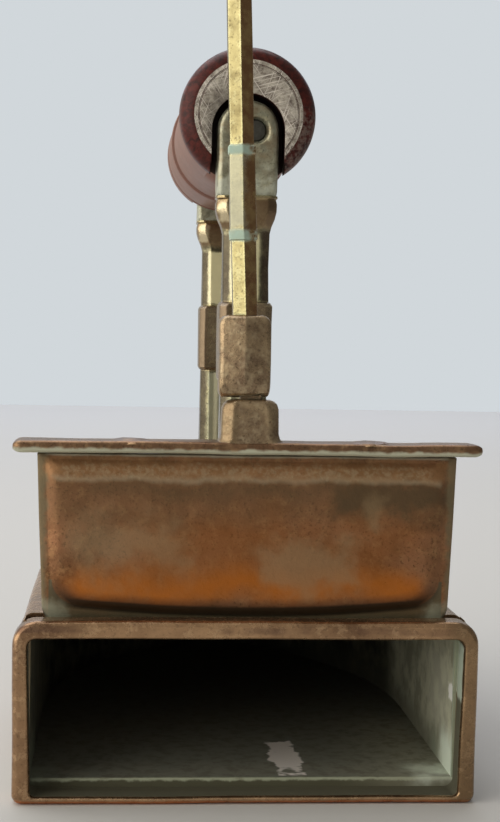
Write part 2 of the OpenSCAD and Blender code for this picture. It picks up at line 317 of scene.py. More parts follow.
def brass_finish(
    name, bare, brown, dark, rough, metal=0.85, green=0.6, wear=0.8, patch_mm=14.0, pits=0.5, soil=0.5
):
    """Brass with its heat-brown skin: patches, fine mottle, rubbed edges, and green salts where dirt collects."""
    brass = Finish(name)
    tree, shader, place = brass.tree, brass.shader, brass.place
    patches = add(
        tree, "TexNoise", {"Scale": 1 / patch_mm, "Detail": 5, "Roughness": 0.62, "Distortion": 0.4},
        {"Vector": place}
    )
    mottle = add(tree, "TexNoise", {"Scale": 1 / 2.4, "Detail": 4, "Roughness": 0.7}, {"Vector": place})
    grain = add(tree, "TexNoise", {"Scale": 1 / 0.7, "Detail": 2, "Roughness": 0.6}, {"Vector": place})
    heat = add(tree, "MapRange", {"From Min": 0.36, "From Max": 0.66}, {"Value": patches.outputs["Fac"]})
    skin_tone = add(
        tree, "Mix", {"data_type": "RGBA", 6: linear(brown), 7: linear(dark)}, {0: heat.outputs[0]}
    )
    speckle = add(
        tree, "MapRange", {"From Min": 0.5, "From Max": 0.72, "To Max": 0.45},
        {"Value": mottle.outputs["Fac"]}
    )
    speckled = add(
        tree, "Mix", {"data_type": "RGBA", 7: linear(bare)}, {0: speckle.outputs[0], 6: skin_tone.outputs[2]}
    )
    rounded = add(tree, "Bevel", {"samples": 6, "Radius": 0.8 * MM})
    facing = add(tree, "NewGeometry")
    edge = add(
        tree, "VectorMath", {"operation": "DOT_PRODUCT"}, {0: rounded.outputs[0], 1: facing.outputs["Normal"]}
    )
    rub = add(
        tree, "MapRange", {"From Min": 0.998, "From Max": 0.93, "To Max": wear},
        {"Value": edge.outputs["Value"]}
    )
    rubbed = add(
        tree, "Mix", {"data_type": "RGBA", 7: linear(bare)}, {0: rub.outputs[0], 6: speckled.outputs[2]}
    )
    specks = add(
        tree, "MapRange", {"From Min": 0.56, "From Max": 0.7, "To Max": soil}, {"Value": grain.outputs["Fac"]}
    )
    soiled = add(
        tree, "Mix", {"data_type": "RGBA", 7: linear("#33291b")}, {0: specks.outputs[0], 6: rubbed.outputs[2]}
    )
    crevice = add(tree, "AmbientOcclusion", {"samples": 8, "Distance": 3.2 * MM})
    nook = add(
        tree, "MapRange", {"From Min": 0.72, "From Max": 0.38, "To Max": green},
        {"Value": crevice.outputs["AO"]}
    )
    broken = add(tree, "MapRange", {"From Min": 0.35, "From Max": 0.6}, {"Value": mottle.outputs["Fac"]})
    salts = add(tree, "Math", {"operation": "MULTIPLY"}, {0: nook.outputs[0], 1: broken.outputs[0]})
    final = add(
        tree, "Mix", {"data_type": "RGBA", 7: linear("#8d9a84")}, {0: salts.outputs[0], 6: soiled.outputs[2]}
    )
    metallic = add(
        tree, "MapRange", {"From Max": 1.0, "To Min": metal, "To Max": 0.1}, {"Value": salts.outputs[0]}
    )
    dull = add(
        tree, "MapRange", {"From Min": 0.3, "From Max": 0.7, "To Min": rough - 0.07, "To Max": rough + 0.12},
        {"Value": mottle.outputs["Fac"]}
    )
    chalky = add(tree, "Mix", {"data_type": "FLOAT", 3: 0.85}, {0: salts.outputs[0], 2: dull.outputs[0]})
    height = add(
        tree, "Math", {"operation": "MULTIPLY_ADD", 1: 0.35},
        {0: grain.outputs["Fac"], 2: mottle.outputs["Fac"]}
    )
    bump = add(tree, "Bump", {"Strength": pits, "Distance": 0.12 * MM}, {"Height": height.outputs[0]})
    tree.links.new(final.outputs[2], shader.inputs["Base Color"])
    tree.links.new(metallic.outputs[0], shader.inputs["Metallic"])
    tree.links.new(chalky.outputs[0], shader.inputs["Roughness"])
    tree.links.new(bump.outputs[0], shader.inputs["Normal"])
    return brass


rim_brass = brass_finish(
    "cast_brass_brown_patina", "#dab78f", "#af8c69", "#7d5f46", 0.22, green=0.45, patch_mm=18, pits=0.3,
    soil=0.35
)
y = mouth_lo.y
rim_brass.stain(
    "#5a4136", z=(body_h - 2.8, body_h - 1.2), soft=0.4, ragged=2.2, grain_mm=16, most=0.6, patchy=True
)
rim_brass.stain("#c86f35", y=(None, y + 3), z=(None, 0.9), soft=0.5, ragged=0.6, most=0.8)
rim_brass.stain("#6b5c42", x=(48, None), soft=3, ragged=5, grain_mm=12, most=0.45)
rim_brass.stain(
    "#5f5d4c", 0.2, 0.7, x=(-opening_half - 0.4, opening_half + 0.4), y=(y + 1.2, None),
    z=(0.9, opening_top + 0.4), soft=0.3
)
rim_brass.stain(
    "#bccab8", 0.0, 0.8, x=(opening_half - 1.5, opening_half + 1.2), y=(y + 1.5, None), z=(24, 37), soft=0.6,
    ragged=3, grain_mm=4, most=0.75
)
cast_brass = rim_brass.paint


def rim_outer(inset):
    return upright(
        rim_half - inset, rim_half - 0.15 - inset, inset, body_h - inset, 5.5 - inset, 2.2 - inset / 2
    )


def rim_inner(grow):
    return upright(
        opening_half + grow, opening_foot + grow, SILL_Z - grow * 0.6, opening_top + grow, 2 + grow,
        1.2 + grow
    )


rim = skin(
    "mouth_rim",
    [
        at_y(rim_outer(0), y + RIM_D), at_y(rim_outer(0), y + 3.5), at_y(rim_outer(0.02), y + 1.5),
        at_y(rim_outer(0.2), y + 0.85), at_y(rim_outer(0.5), y + 0.4), at_y(rim_outer(0.9), y + 0.12),
        at_y(rim_outer(1.3), y), at_y(rim_inner(0.8), y), at_y(rim_inner(0.4), y + 0.15),
        at_y(rim_inner(0.12), y + 0.5), at_y(rim_inner(0), y + 1), at_y(rim_inner(0), y + RIM_D)
    ],
    cast_brass, looped=True, wave=0.22, wave_mm=22
)
channel_out = upright(rim_half - 1.3, rim_half - 1.3, 0, body_h - 0.3, 3, 1.2)
channel_in = upright(opening_half + 0.9, opening_foot + 0.9, SILL_Z - 0.6, body_h - 0.3, 0.2, 2.2)
# The channel is open above, so its strips start and end half way round the outline's top corners.
over_top = (BEND + 1) + (LONG_STEPS - 1) + BEND // 2


def u_strip(outline):
    return outline[over_top:] + outline[:BEND // 2 + 1]


drop_channel = skin("gate_drop_channel", [
    at_y(u_strip(channel_out), y + RIM_D - 0.2), at_y(u_strip(channel_out), y + RIM_D + slot_l),
    at_y(u_strip(channel_in), y + RIM_D + slot_l), at_y(u_strip(channel_in), y + RIM_D - 0.2)],
    cast_brass, closed=False, looped=True)
for piece in (rim, drop_channel):
    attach(piece, "iron")
    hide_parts("mouth_frame")

# --- Box: sole, side walls and top plate ---------------------------------------------------------------------------
# Sheet brass walls brazed to a thick sole, with a cast top whose shoulder is rolled over. Outside it is brown and
# handled. Inside, the hot slug has left a dull oxide, with green salts at the brazed seams; its shade and light are
# painted.
half_w, straight_l = 52.8, 84.0
box_from = mouth_hi.y


def dark_inside(finish, inside, oxide):
    """The box's fired inner face: a soft grey-green oxide that no longer shines."""
    finish.cover(inside, oxide, metal=0.0, rough=0.8)


wall_brass = brass_finish("sheet_brass_brown_patina", "#c7a377", "#8f6c4c", "#63503a", 0.36, green=0.5)
tree = wall_brass.tree
face = add(tree, "NewGeometry")
flat_place = add(tree, "VectorMath", {"operation": "MULTIPLY", 1: (1, 0, 0)}, {0: face.outputs["Position"]})
outward = add(
    tree, "VectorMath", {"operation": "DOT_PRODUCT"},
    {0: face.outputs["True Normal"], 1: flat_place.outputs[0]}
)
inner_face = add(tree, "Math", {"operation": "LESS_THAN", 1: 0.0}, {0: outward.outputs["Value"]}).outputs[0]
dark_inside(wall_brass, inner_face, "#bdbda4")
# Painted shade: no daylight reaches the nose or the side behind the window, so both are painted near black.
for colour, box in (
    ("#2a2a22", dict(x=(None, -30), soft=12, most=0.9)),
    ("#14140f", dict(y=(box_from + 86, None), soft=8, ragged=8, most=0.96)),
    ("#6d6b57", dict(z=(6, 36), soft=5, ragged=18, grain_mm=7, most=0.6, patchy=True)),
    # Painted shadow low down on the right wall, further in from the mouth.
    (
        "#4c4c3e",
        dict(x=(30, None), y=(box_from + 18, None), z=(None, 9), soft=5, ragged=6, grain_mm=8, most=0.65)
    ),
    # A painted pool of window light on the right wall near the mouth.
    (
        "#d6d6c0",
        dict(
            x=(30, None), y=(box_from + 8, box_from + 30), z=(12, 30), soft=6, ragged=12, grain_mm=9, most=0.5
        )
    )
):
    wall_brass.stain(colour, where=inner_face, **box)
wall_brass.stain("#93a08b", 0.0, 0.85, y=(None, box_from + 26), z=(None, 9), soft=5, ragged=6, most=0.4)
# Pale salts have crept up the lower corner by the mouth, painted paler as painted light where the window falls; one
# crust sits higher on the same wall.
wall_brass.stain(
    "#e4eedd", 0.0, 0.85, where=inner_face, x=(30, None), y=(None, box_from + 14), z=(None, 12), soft=4,
    ragged=7, grain_mm=5, most=0.95
)
wall_brass.stain(
    "#f6f6f0", 0.0, 0.85, where=inner_face, x=(30, None), y=(box_from + 1, box_from + 6), z=(21.5, 25.5),
    soft=0.4, ragged=2.5, grain_mm=2
)
for half, most in (((0, None), 0.75), ((None, 0), 0.3)):
    wall_brass.stain(
        "#a3b09a", 0.0, 0.85, x=half, y=(None, box_from + 1.2), soft=0.7, ragged=1.4, grain_mm=3.5, most=most
    )
for node in ("left_side_wall", "right_side_wall"):
    bpy.data.objects[node].data.materials.clear()
    bpy.data.objects[node].data.materials.append(wall_brass.paint)

sole_brass = brass_finish("rolled_brass_sole_oxidised", "#c7a377", "#8f6c4c", "#63503a", 0.34)
tree = sole_brass.tree
face = add(tree, "NewGeometry")
up = add(tree, "VectorMath", {"operation": "DOT_PRODUCT", 1: (0, 0, 1)}, {0: face.outputs["True Normal"]})
dark_inside(
    sole_brass, add(tree, "Math", {"operation": "GREATER_THAN", 1: 0.5}, {0: up.outputs["Value"]}).outputs[0],
    "#74766a"
)
sole_brass.stain(
    "#8a8674", 0.0, 0.85, x=(-46, 49), y=(box_from, box_from + 14), z=(3, None), soft=3, ragged=9, grain_mm=5,
    most=0.35
)
sole_brass.stain("#55533f", 0.1, 0.7, y=(None, box_from + 0.05), soft=0.03)
sole_brass.stain(
    "#b9bfa4", 0.0, 0.85, y=(None, box_from + 0.6), z=(2.75, None), soft=0.35, ragged=1.5, grain_mm=2.5,
    most=0.8
)
# Painted shade: the floor is painted darker further into the box, where no light reaches.
sole_brass.stain("#17170f", y=(box_from + 70, None), z=(3, None), soft=45, most=0.9)
# A painted pool of window light on the floor's right side by the mouth.
sole_brass.stain("#aeac94", x=(34, None), y=(None, box_from + 60), z=(3, None), soft=14, ragged=8, most=0.8)
sole_brass.stain(
    "#4d4433", y=(box_from + 0.5, None), z=(3, None), soft=0.5, ragged=6, grain_mm=3.5, most=0.4, patchy=True
)
# Pale salts in the floor's right corner by the mouth, painted paler as painted light where the window falls.
sole_brass.stain(
    "#e6f0e0", 0.0, 0.85, x=(42, None), y=(None, box_from + 12), z=(3, None), soft=3.5, ragged=8, grain_mm=6,
    most=0.9
)
sole_brass.stain(
    "#8f9a86", 0.0, 0.85, x=(None, -46), y=(None, box_from + 10), z=(3, None), soft=2, ragged=6, grain_mm=5,
    most=0.6
)
# A flake of oxide has come away on the floor, a little right of the middle, and shows bare grey metal.
sole_brass.stain(
    "#efe9e3", 0.1, 0.6, x=(9, 15.5), y=(box_from + 1, box_from + 34), z=(3, None), soft=0.35, ragged=7,
    grain_mm=9
)
bpy.data.objects["sole_plate"].data.materials.clear()
bpy.data.objects["sole_plate"].data.materials.append(sole_brass.paint)


def box_plan(inset, z, around=40):
    """The top's outline: straight sides, then two arcs that meet at the tip."""
    nose_l = cad_box[1][1] / MM - (mouth_lo.y + straight_l)
    nose_r = (half_w**2 + nose_l**2) / (2 * half_w)
    reach = nose_r - inset
    last = math.acos((nose_r - half_w) / reach)
    start_y = mouth_lo.y + straight_l
    right = [(half_w - inset, box_from + (start_y - box_from) * i / 12, z) for i in range(12)]
    right += [
        (
            half_w - nose_r + reach * math.cos(last * i / around),
            start_y + reach * math.sin(last * i / around), z
        )
        for i in range(around)
    ]
    tip = [(0, start_y + reach * math.sin(last), z)]
    return right + tip + [(-x, y, z) for x, y, z in reversed(right)]


top_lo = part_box("top_plate")[0].z / MM
SHOULDER_R = 2.6
shoulder = [
    (SHOULDER_R * (1 - math.cos(a)), body_h - SHOULDER_R * (1 - math.sin(a)))
    for a in (math.radians(10 * i) for i in range(10))
]
top_plate = skin(
    "box_top_plate", [box_plan(0, top_lo)] + [box_plan(inset, z) for inset, z in shoulder], cast_brass,
    wave=0.15, wave_mm=30, sharp=50, flats=False
)
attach(top_plate, "iron")
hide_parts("top_plate")
for node in ("rear_post_washer", "front_post_washer"):
    bpy.data.objects[node].data.materials.clear()
    bpy.data.objects[node].data.materials.append(cast_brass)

# --- Gate ----------------------------------------------------------------------------------------------------------
# A cast brass plate whose face is raised inside a sloping border. It hangs from a round-edged cap with two rivets.
# The slug's heat has turned the low half copper-orange; the border and the upper corner keep an olive dirt.
gate_lo, gate_hi = (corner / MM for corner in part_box("gate_plate"))
gate_half, gate_face = gate_hi.x, gate_lo.y
gate_brass = brass_finish(
    "cast_brass_heat_tinted", "#b78f62", "#94694a", "#735035", 0.34, green=0.35, wear=0.35, patch_mm=10,
    pits=0.9
)
low, high, wide = gate_lo.z, gate_hi.z, gate_half
FLANGE_FOOT = 3.7  # height of the flat border under the middle of the raised panel
gate_brass.stain(
    "#bf6c1e", x=(6 - wide, wide - 8), z=(low + 7.5, low + 14), soft=4, ragged=14, grain_mm=18, most=0.85
)
gate_brass.stain(
    "#9c5e2a", x=(-28, wide - 12), z=(low + 9, high - 14), soft=7, ragged=26, grain_mm=17, most=0.45
)
gate_brass.stain(
    "#3a301a", 0.4, 0.5, x=(20, wide - 4), z=(high - 13, high - 5), soft=3, ragged=13, grain_mm=7, most=0.85
)
gate_brass.stain(
    "#a58d68", 0.5, 0.55, x=(wide - 22, wide - 18), z=(high - 17, high - 9), soft=1.5, ragged=8, grain_mm=8,
    most=0.4
)
gate_brass.stain(
    "#4e3c24", 0.5, 0.5, x=(12 - wide, wide - 20), z=(high - 10, high - 6), soft=2.5, ragged=9, grain_mm=9,
    most=0.55
)
gate_brass.stain(
    "#97805f", 0.5, 0.55, x=(8 - wide, -16), z=(low + 14, high - 16), soft=5, ragged=22, grain_mm=9, most=0.5
)
gate_brass.stain(
    "#97805f", 0.5, 0.55, x=(4, 26), z=(low + 10, low + 21), soft=4, ragged=20, grain_mm=8, most=0.5
)
gate_brass.stain("#6e5538", 0.5, 0.5, z=(high - 16, high - 3), soft=3, ragged=10, grain_mm=11, most=0.35)
gate_brass.stain(
    "#b3a487", 0.5, 0.6, x=(4 - wide, wide - 4), z=(high - 6.2, high - 5), soft=0.8, ragged=3.5, grain_mm=9,
    most=0.45
)
gate_brass.stain("#a57c52", 0.6, 0.45, z=(high - 5.5, high - 1), soft=1.0, ragged=4, grain_mm=7, most=0.4)
gate_brass.stain(
    "#b3a686", 0.3, 0.6, x=(6 - wide, wide - 6), z=(high - 5, high - 2.5), soft=1.0, ragged=6, grain_mm=1.1,
    most=0.3, patchy=True
)
for border in (
    dict(x=(None, 2.2 - wide)), dict(x=(wide - 2.2, None)), dict(z=(None, low + FLANGE_FOOT - 0.4))
):
    gate_brass.stain("#6d6b52", 0.4, 0.6, soft=0.8, ragged=3.5, grain_mm=4, most=0.6, **border)
gate_brass.stain(
    "#b3b5a2", 0.1, 0.8, x=(2 - wide, wide - 2), z=(high - 0.5, None), soft=0.4, ragged=0.9, grain_mm=5,
    most=0.7
)
gate_brass.stain(
    "#544f38", 0.3, 0.55, x=(3 - wide, wide - 3), y=(gate_face + 1.1, gate_face + 1.7), z=(None, low + 12),
    soft=0.12, most=0.85
)
for corner in (dict(x=(None, 7 - wide)), dict(x=(wide - 7, None))):
    gate_brass.stain(
        "#a5a892", 0.2, 0.65, z=(None, low + FLANGE_FOOT + 2), soft=2, ragged=7, grain_mm=4, most=0.65,
        **corner
    )
# Painted shade on the panel's foot: the surfaces turned down where its slope meets the flange are painted dark.
gate_brass.stain(
    "#231a0b", 0.3, 0.5, where=gate_brass.turned_to("Z", -0.04, -0.3, most=0.95), z=(low + 3, low + 16),
    soft=1
)


def gate_outline(side, foot, top, foot_r):
    """The panel's foot bows down towards its middle, more so than the plate's own edge."""
    bow = min(foot, FLANGE_FOOT) / FLANGE_FOOT * 3.9
    points = upright(wide - side, wide - 1.3 - side, low + foot, high - top, 0.3 + side * 0.6, foot_r)
    return [(px, pz + bow * (px / wide) ** 2 * max(0, 1 - (pz - low) / 20)) for px, pz in points]


gate = skin(
    "gate_plate_face",
    [
        at_y(gate_outline(0.5, 0.5, 0.2, 6), gate_hi.y), at_y(gate_outline(0, 0, 0, 6.5), gate_hi.y - 0.5),
        at_y(gate_outline(0, 0, 0, 6.5), gate_face + 1.9),
        at_y(gate_outline(0.15, 0.15, 0.1, 6.4), gate_face + 1.6),
        at_y(gate_outline(0.6, 0.6, 0.3, 6), gate_face + 1.4),
        at_y(gate_outline(1.8, FLANGE_FOOT - 0.6, 1.2, 5), gate_face + 1.35),
        at_y(gate_outline(2.2, FLANGE_FOOT, 1.6, 6), gate_face + 1.25),
        at_y(gate_outline(2.8, FLANGE_FOOT + 0.7, 2.4, 7), gate_face + 0.85),
        at_y(gate_outline(3.5, FLANGE_FOOT + 1.4, 3.4, 8), gate_face + 0.45),
        at_y(gate_outline(4.8, FLANGE_FOOT + 2.4, 5, 8), gate_face + 0.16),
        at_y(gate_outline(7, FLANGE_FOOT + 4.4, 7.5, 7), gate_face + 0.03),
        at_y(gate_outline(11, FLANGE_FOOT + 8, 11, 5), gate_face)
    ],
    gate_brass.paint, wave=0.12, wave_mm=16, flats=False
)

cap_lo, cap_hi = (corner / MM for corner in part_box("gate_cap"))
CAP_LIFT = 0.3  # the cap's own unevenness stays clear of the rim when the gate is down
cap_mid_y, cap_mid_z = (cap_lo.y + cap_hi.y) / 2, (cap_lo.z + CAP_LIFT + cap_hi.z) / 2
cap_deep, cap_thick = (cap_hi.y - cap_lo.y) / 2, (cap_hi.z - cap_lo.z - CAP_LIFT) / 2


def cap_section(x, inset):
    half_t = cap_thick - inset * 0.7
    outline = upright(cap_deep - inset, cap_deep - inset, -half_t, half_t, half_t * 0.94, half_t * 0.94, 6, 1)
    return [(x, cap_mid_y + y, cap_mid_z + z) for y, z in outline]


cap_brass = brass_finish("cast_brass_cap", "#bf9d74", "#83634a", "#604935", 0.3, green=0.45, patch_mm=16)
cap_brass.stain(
    "#c6c8b0", 0.25, 0.5, y=(None, cap_lo.y + 1.5), z=(None, cap_mid_z - 0.3), soft=0.4, ragged=1.8,
    grain_mm=4, most=0.85
)
cap_steps = [(0, 1.5), (0.12, 1.05), (0.45, 0.6), (1, 0.22), (1.8, 0)] + [
    (3.5 + 2.94 * i, 0) for i in range(18)
]
cap = skin(
    "gate_cap_bar",
    [cap_section(cap_lo.x + s, inset) for s, inset in cap_steps] + [
        cap_section(cap_hi.x - s, inset) for s, inset in reversed(cap_steps)
    ],
    cap_brass.paint, wave=0.28, wave_mm=15, sharp=60, flats=False
)
for rivet_x in (-28, 28):
    dome = [(5.6, -0.6), (5.2, -0.1), (4.4, 0.12), (3.3, 0.32), (1.9, 0.46), (0.2, 0.5)]
    rivet = skin(
        "cap_rivet_left" if rivet_x < 0 else "cap_rivet_right",
        [
            [
                (
                    rivet_x + r * math.cos(i * math.pi / 16), cap_mid_y + r * math.sin(i * math.pi / 16),
                    cap_hi.z + z
                )
                for i in range(32)
            ]
            for r, z in dome
        ],
        cap_brass.paint, wave=0.25, wave_mm=3, sharp=70, flats=False
    )
    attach(rivet, "gate")
    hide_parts("cap_rivets")

# The lug is filed to a blunt tapered block with cut corners and carries the eye that the lever turns on.
pin_lo, pin_hi = (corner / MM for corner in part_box("lever_pin"))
pin_z, gate_y = (pin_lo.z + pin_hi.z) / 2, (pin_lo.y + pin_hi.y) / 2


def softened(corners, soft):
    """Rounds each corner of a closed outline with a short curve. A list gives each corner its own."""
    points = []
    softs = soft if isinstance(soft, (list, tuple)) else [soft] * len(corners)
    for i, ((x, y), soft) in enumerate(zip(corners, softs)):
        for near in (corners[i - 1], corners[(i + 1) % len(corners)]):
            far = math.hypot(near[0] - x, near[1] - y)
            points.append((x + (near[0] - x) * soft / far, y + (near[1] - y) * soft / far))
        start, end = points[-2:]
        points[-1:] = [((start[0] + 2 * x + end[0]) / 4, (start[1] + 2 * y + end[1]) / 4), end]
    return points


def lug_section(z, x, y, cut=2.2, shift=0.0):
    plan = softened([(x, cut - y), (x, y), (-x, y), (-x, cut - y), (cut - x, -y), (x - cut, -y)], 0.7)
    return [(px + shift, gate_y + py, z) for px, py in plan]


block_brass = brass_finish(
    "cast_brass_brown_block", "#dccaa6", "#ab9474", "#7a6550", 0.28, green=0.3, wear=0.9, patch_mm=6, pits=0.9
)
block_brass.stain(
    "#7d6a4e", x=(None, -3.2), z=(None, pin_z - 4.7), soft=0.6, ragged=1.5, grain_mm=3, most=0.55
)
z = cap_hi.z
lug = skin(
    "hinge_lug_block",
    [
        lug_section(z - 0.6, 8.0, 5.0, shift=0.3), lug_section(z + 0.1, 7.6, 4.9, shift=0.25),
        lug_section(z + 0.7, 7.05, 4.7, shift=0.1), lug_section(z + 1.8, 6.8, 4.55),
        lug_section(z + 5, 6.7, 4.5), lug_section(z + 7.6, 6.6, 4.45), lug_section(z + 8.8, 6.2, 4.2),
        lug_section(z + 9.5, 5.5, 3.7, 1.8), lug_section(z + 9.9, 4.5, 3.0, 1.5),
        lug_section(z + 10, 3.2, 2.2, 1.2)
    ],
    block_brass.paint, wave=0.3, wave_mm=6, sharp=50
)
eye_side = [(-0.4, z + 9), (2.4, z + 9)] + [
    (2.4 * math.cos(a), pin_z + 2.4 * math.sin(a)) for a in (math.pi * i / 12 for i in range(13))
]
eye_side += [(-0.4, pin_z - 2.4)]
eye = skin("hinge_lug_eye", [[(x, gate_y + y, z) for y, z in eye_side] for x in (-2.4, 2.4)], cast_brass)
for piece, node in ((gate, "gate_plate"), (cap, "gate_cap"), (lug, "hinge_lug"), (eye, "hinge_lug")):
    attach(piece, "gate")
    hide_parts(node)

# --- Finger lever --------------------------------------------------------------------------------------------------
# Cast and filed brass: a ridged block that is forked round the lug's eye, and a three-cornered bar with two collars
# and a small ball. Fingers keep its ridges bright; the fork's block has gone brown, and salts ring the collars.
block_x, block_half, block_r = -1.6, 6.1, 4.5
block_top = pin_z - block_r + 19.2
lever_brass = brass_finish(
    "cast_brass_rubbed_bright", "#cdc799", "#a69c70", "#736848", 0.2, metal=1.0, green=0.7, wear=0.9,
    patch_mm=7, pits=0.8
)
# The facets turned away from the window are painted brown as painted shade, with a few rubbed streaks.
painted_shade_facet = lever_brass.turned_to("X", 0.2, 0.4, most=0.8)
lever_brass.cover(painted_shade_facet, "#8f6648")
lever_brass.stain("#b9a070", where=painted_shade_facet, z=(100, None), grain_mm=3, most=0.7, patchy=True)
COLLARS = ((131.4, 133.9), (151.4, 153.6))
for z0, z1 in COLLARS:
    lever_brass.stain(
        "#a5b8aa", 0.1, 0.65, z=(z0, z1), soft=0.5, ragged=2.0, grain_mm=1.6, most=0.8, patchy=True
    )
    lever_brass.stain(
        "#a5bcae", 0.1, 0.65, x=(None, -1.2), z=(z0, z1), soft=0.6, ragged=1.8, grain_mm=2.4, most=0.85
    )
# A painted highlight: the window side of the bar's middle length is painted pale grey.
lever_brass.stain(
    "#9c9c8a", 0.6, 0.35, x=(None, -2.4), z=(134, 151), soft=1.0, ragged=5.0, grain_mm=4, most=0.65
)


def ridged(x, half, back, front, rise, soft):
    """A bar section with a ridge down its front, between two sloping facets."""
    return [(x + px, gate_y + py) for px, py in softened(
        [(half, back), (-half, back), (-half, rise - front), (0, -front), (half, rise - front)],
        [soft, soft, soft, 0.25, soft])]


def ridged_at(z, *section):
    return [(x, y, z) for x, y in ridged(*section)]


def cut(piece, cutter):
    """Cuts one shape out of a piece for good."""
    flat = bmesh.new()
    flat.from_mesh(piece.data)
    bmesh.ops.triangulate(flat, faces=flat.faces)
    flat.to_mesh(piece.data)
    flat.free()
    knife = piece.modifiers.new("cut", "BOOLEAN")
    knife.operation, knife.solver, knife.object = "DIFFERENCE", "EXACT", cutter
    seen_by = piece.evaluated_get(bpy.context.evaluated_depsgraph_get())
    mesh = bpy.data.meshes.new_from_object(seen_by)
    piece.modifiers.clear()
    piece.data = mesh
    bpy.data.objects.remove(cutter)


def fork_cutter(x, z0, x1, z1, y0, y1):
    """The square-cornered slot that makes the block a fork, given by two corners."""
    return skin(
        "cutter", [[(x, y, z0), (x1, y, z0), (x1, y, z1), (x, y, z1)] for y in (y0, y1)], block_brass.paint
    )


rolled = [
    (-4.5, 1.2, 0.5, 0.2), (-4.4, 2.2, 0.35, 0.4), (-4.05, 3.2, 0.2, 0.7), (-3.3, 3.9, 0.05, 1.0),
    (-2.2, 4.3, 0, 1.15), (-0.8, 4.48, 0, 1.2)
]
lever_block = skin(
    "lever_block",
    [
        ridged_at(pin_z + dz, block_x, block_half - 1.6 * inset, front, front, rise, 0.3 + 0.7 * rise)
        for dz, front, inset, rise in rolled
    ] + [
        ridged_at(pin_z + 4, block_x, block_half, 4.5, 4.5, 1.2, 1.1),
        ridged_at(block_top - 2.4, block_x, block_half - 0.05, 4.5, 4.5, 1.2, 1.1),
        ridged_at(block_top - 1.1, block_x, block_half - 0.35, 4.3, 4.3, 1.3, 1.1),
        ridged_at(block_top - 0.35, block_x, block_half - 1.1, 3.8, 3.8, 1.3, 1.0),
        ridged_at(block_top, block_x, block_half - 2.2, 3.1, 3.1, 1.2, 0.8)
    ],
    block_brass.paint, wave=0.2, wave_mm=7, sharp=50
)
cut(lever_block, fork_cutter(-2.65, pin_z - 6, 2.65, pin_z + 7, gate_y - 2.7, gate_y + 6))

LEAN_DEG = 2.1
lean = math.tan(math.radians(LEAN_DEG))
bar_stations = [
    (block_top - 0.6, 2.85, 2.6, 2.6, 1.7), (131.5, 2.85, 2.6, 2.6, 1.7), (131.8, 3.2, 2.9, 2.9, 1.6),
    (133.9, 3.25, 2.9, 2.9, 1.6), (134.3, 3.05, 2.75, 2.75, 1.7), (151.4, 3.0, 2.75, 2.75, 1.7),
    (151.8, 3.2, 2.9, 2.9, 1.6), (153.4, 3.15, 2.9, 2.9, 1.6), (153.8, 2.8, 2.6, 2.6, 1.7),
    (174, 2.85, 2.6, 2.6, 1.7), (194.5, 2.8, 2.6, 2.6, 1.7), (195.4, 2.5, 2.3, 2.3, 1.4),
    (196.2, 2.0, 1.9, 1.9, 1.0)
]
lever_bar = skin(
    "lever_ridged_bar",
    [
        ridged_at(z, block_x - lean * (z - block_top + 1), half, back, front, rise, 0.35)
        for z, half, back, front, rise in bar_stations
    ],
    lever_brass.paint, wave=0.18, wave_mm=9, sharp=30
)
ball_z, ball_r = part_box("lift_lever")[1].z / MM - 3.6, 3.6
ball_x = block_x - lean * (ball_z - block_top + 1)
ball = [(2.0, -4.6), (2.2, -4.0), (2.1, -3.4)] + [
    (ball_r * math.cos(a), ball_r * math.sin(a)) for a in (math.radians(d) for d in range(-50, 90, 10))
] + [(0.15, ball_r)]
lever_ball = skin(
    "lever_finial",
    [
        [
            (ball_x + r * math.cos(i * math.pi / 20), gate_y + r * math.sin(i * math.pi / 20), ball_z + dz)
            for i in range(40)
        ]
        for r, dz in ball
    ],
    lever_brass.paint, sharp=50
)
for piece in (lever_block, lever_bar, lever_ball):
    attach(piece, "lever")
    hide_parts("lift_lever")

# --- Posts ---------------------------------------------------------------------------------------------------------
# Two cast brass posts, filed eight-sided, with a square block half way and a flat head that grips the handle's rod.
# The user's side is grey-green with age and its edges are rubbed to gold, with painted highlights and painted shade on
# its facets.
post_brass = brass_finish(
    "cast_brass_eight_sided", "#dad09e", "#8b856c", "#585443", 0.17, metal=0.95, green=0.6, wear=0.9,
    patch_mm=8, pits=0.8
)
# Painted highlights and streaks on the waist's and shaft's fronts; painted shade on the window-side edge and waist's
# right edge.
painted_light_front = post_brass.turned_to("Y", 0.2, -0.2)
for colour, metal, rough, box in (
    ("#e4dcb0", 0.35, 0.25, dict(x=(-3.4, 3.2), z=(118, 134), soft=0.5, ragged=1.4, grain_mm=4, most=0.9)),
    ("#a8aa90", 0.4, 0.35, dict(x=(-3.4, 1.0), z=(50, 97), soft=0.5, ragged=1.4, grain_mm=6, most=0.75)),
    ("#e4e2c0", 0.4, 0.25, dict(x=(-1.8, -0.6), z=(52, 97), soft=0.4, ragged=0.8, grain_mm=8, most=0.8)),
    ("#4f4536", 0.7, 0.3, dict(x=(None, -4.1), z=(50, 134), soft=0.5, ragged=1.4, grain_mm=5, most=0.8)),
    ("#e6deb8", 0.3, 0.25, dict(x=(-4.0, -3.3), z=(118, 134), soft=0.3, ragged=1.2, grain_mm=4, most=0.75)),
    ("#4f3c30", 0.8, 0.3, dict(x=(3.9, None), z=(117.6, 135), soft=0.4, ragged=1.0, grain_mm=5, most=0.7))
):
    post_brass.stain(colour, metal, rough, where=painted_light_front, **box)
